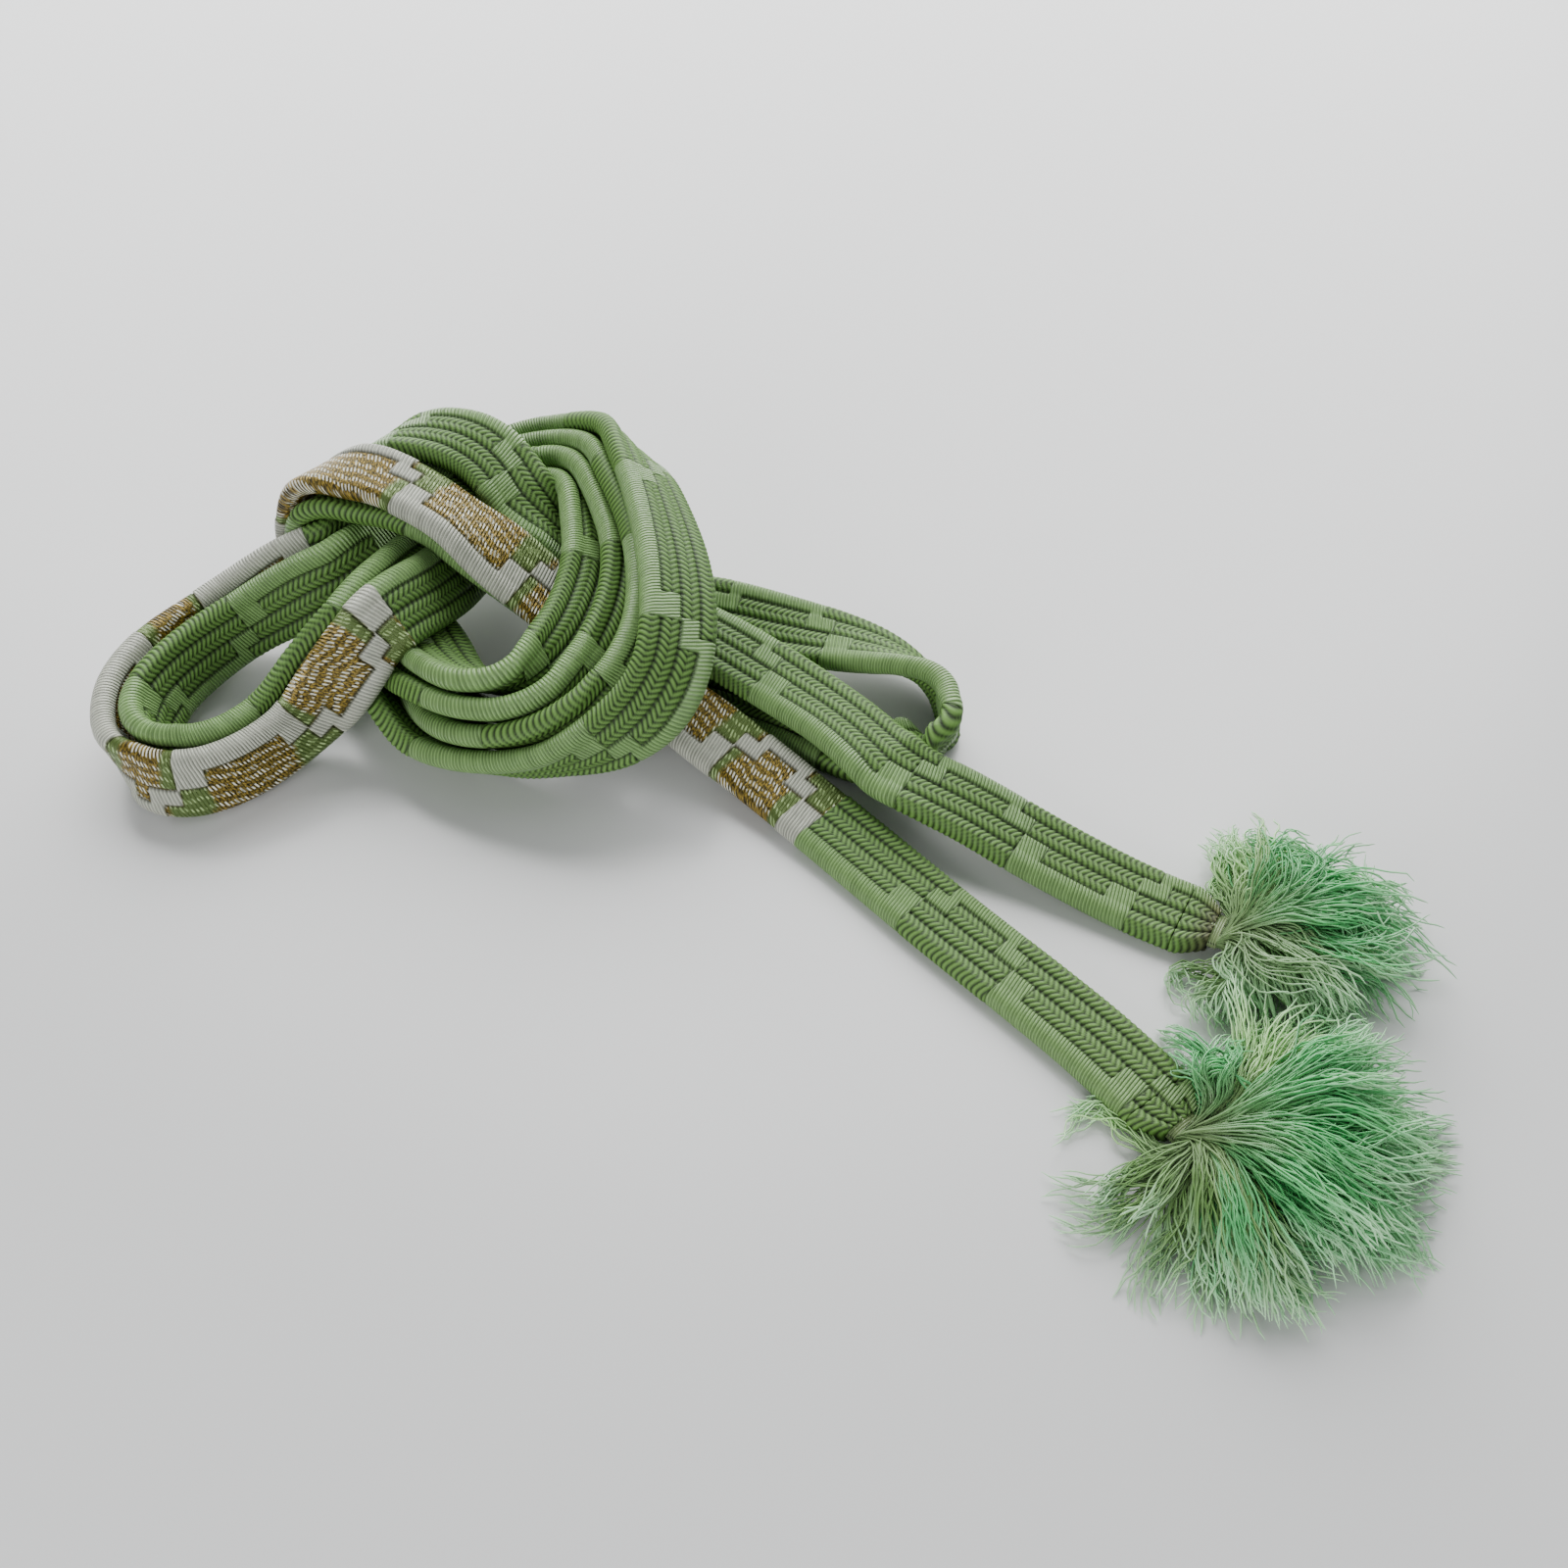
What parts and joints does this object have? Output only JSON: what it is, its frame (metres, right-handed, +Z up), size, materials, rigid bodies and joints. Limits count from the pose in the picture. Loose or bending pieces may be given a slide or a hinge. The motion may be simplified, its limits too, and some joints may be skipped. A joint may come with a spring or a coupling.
{
  "type": "flat braided silk cord with tassels",
  "caption": "Flat braided silk sash cord with a fringe tassel at each end, folded into loops and tied in one loose overhand knot, lying on a flat surface.",
  "frame": {"origin": "centre of the bounding box in plan, on the resting plane", "axes": "+Z up from the resting plane; +X from the two left loops towards the tassels; +Y from the tassel side towards the top of the knot"},
  "size_m": [0.1632, 0.1265, 0.0241],
  "materials": {
    "silk_green": "satin",
    "silk_gold": "satin",
    "silk_tie": "satin",
    "silk_fringe": "satin"
  },
  "bodies": {
    "root": {"tail_a": "silk_green", "over_a": "silk_green", "turn_a": "silk_green", "coil_a": "silk_green", "inner_loop_far": "silk_green", "inner_loop_near": "silk_green", "coil_b": "silk_green", "turn_b": "silk_green", "under_b": "silk_green", "right_loop_near": "silk_green", "right_loop_far": "silk_green", "under_c": "silk_green", "turn_c": "silk_green", "coil_c": "silk_green", "outer_loop_near": "silk_gold", "outer_loop_far": "silk_gold", "coil_d": "silk_green", "turn_d": "silk_green", "over_d": "silk_gold", "tail_b": "silk_green", "end_braid_a": "silk_tie", "end_tie_a": "silk_tie", "tassel_a": "silk_fringe", "end_braid_b": "silk_tie", "end_tie_b": "silk_tie", "tassel_b": "silk_fringe"}
  },
  "joints": []
}
